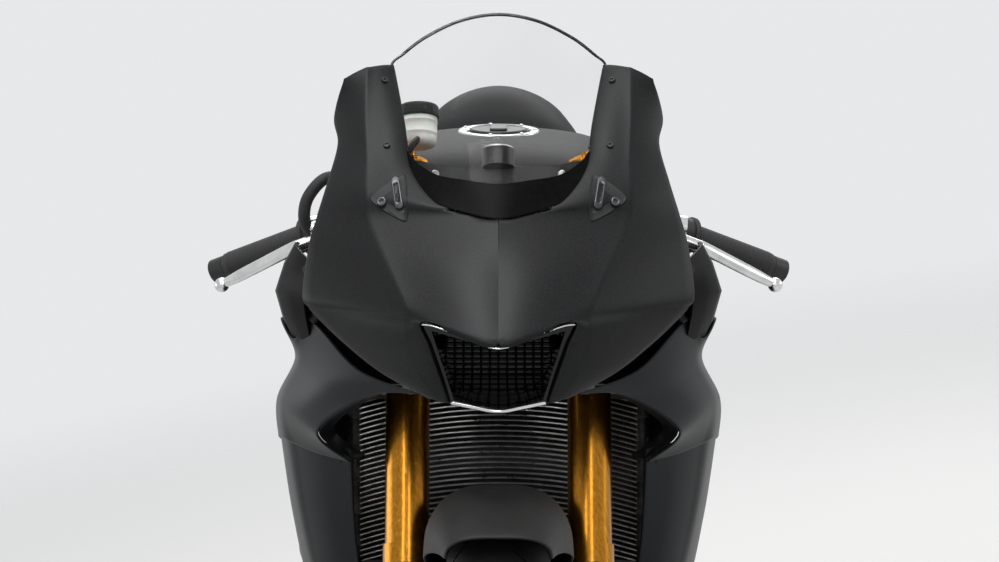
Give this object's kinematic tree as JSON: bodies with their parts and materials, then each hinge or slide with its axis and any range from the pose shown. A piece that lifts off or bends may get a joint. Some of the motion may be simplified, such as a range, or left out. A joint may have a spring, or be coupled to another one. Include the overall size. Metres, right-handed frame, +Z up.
{
  "type": "sport motorcycle",
  "caption": "Fully faired sport motorcycle with solo seat, upside-down fork, clip-on bars, twin-spar frame, chain drive and side stand, parked leaning on the stand.",
  "frame": {"origin": "on the ground, at the middle of the bounding box", "axes": "-Y forward, +X to the rider's left, +Z up; the machine leans 10 degrees to +X on its side stand"},
  "size_m": [0.7048, 1.9899, 1.1458],
  "materials": {
    "cowl_paint": "satin charcoal metallic paint",
    "side_paint": "satin blue grey metallic paint",
    "gloss_black": "gloss black",
    "black_plastic": "matt black plastic",
    "black_metal": "black coated metal",
    "frame_metal": "dark anodised aluminium",
    "engine_metal": "black coated castings",
    "gold": "gold anodised",
    "steel": "plain steel",
    "bright": "clear anodised",
    "radiator": "black core with bright tubes",
    "exhaust": "heat toned stainless steel",
    "tyre": "black tyre rubber",
    "rubber": "black rubber",
    "seat": "black grained cover",
    "clear": "clear screen",
    "lens": "clear lens",
    "red_lens": "red lens",
    "cup": "translucent white cup"
  },
  "bodies": {
    "frame": {"main_frame": "frame_metal", "subframe": "black_metal", "swingarm": "frame_metal", "rear_shock": "black_metal", "rear_axle": "steel", "engine": "engine_metal", "engine_covers": "engine_metal", "radiator": "radiator", "exhaust": "exhaust", "fuel_tank": "cowl_paint", "fuel_cap": "bright", "rider_seat": "seat", "tail_cowl": "cowl_paint", "tail_light": "red_lens", "front_cowl": "cowl_paint", "windscreen": "clear", "nose_intake": "gloss_black", "headlamps": "lens", "side_fairing_left": "side_paint", "side_fairing_right": "side_paint", "belly_pan": "side_paint", "inner_panels": "black_plastic", "instrument_cluster": "black_plastic", "fairing_stay": "black_metal", "rearset_left": "frame_metal", "rearset_right": "frame_metal", "chain": "steel", "sprocket_cover": "black_plastic", "rear_hugger": "black_plastic", "rear_caliper": "black_metal"},
    "steering": {"triple_clamps": "black_metal", "fork_tubes": "gold", "fork_legs": "bright", "front_axle": "steel", "front_mudguard": "black_plastic", "front_calipers": "black_metal", "handlebars": "black_metal", "grips": "rubber", "levers": "bright", "brake_reservoir": "cup"},
    "front_wheel": {"front_tyre": "tyre", "front_rim": "black_metal", "front_discs": "steel"},
    "rear_wheel": {"rear_tyre": "tyre", "rear_rim": "black_metal", "rear_sprocket": "steel", "rear_disc": "steel"},
    "side_stand": {"side_stand": "black_metal"}
  },
  "joints": [
    {"name": "steering_turn", "type": "hinge", "parent": "frame", "child": "steering", "pos_m": [0.00075, -0.42045, 0.82281], "axis": [0.1586, 0.4067, 0.8997], "range_deg": [-27, 27]},
    {"name": "front_wheel_spin", "type": "hinge", "parent": "steering", "child": "front_wheel", "pos_m": [-0.09208, -0.695, 0.29638], "axis": [0.9848, 0, -0.1736], "continuous": true},
    {"name": "rear_wheel_spin", "type": "hinge", "parent": "frame", "child": "rear_wheel", "pos_m": [-0.08936, 0.68, 0.31177], "axis": [0.9848, 0, -0.1736], "continuous": true},
    {"name": "side_stand_fold", "type": "hinge", "parent": "frame", "child": "side_stand", "pos_m": [0.04905, 0.072, 0.23291], "axis": [0.9848, 0, 0.1736], "range_deg": [0, 95]}
  ]
}
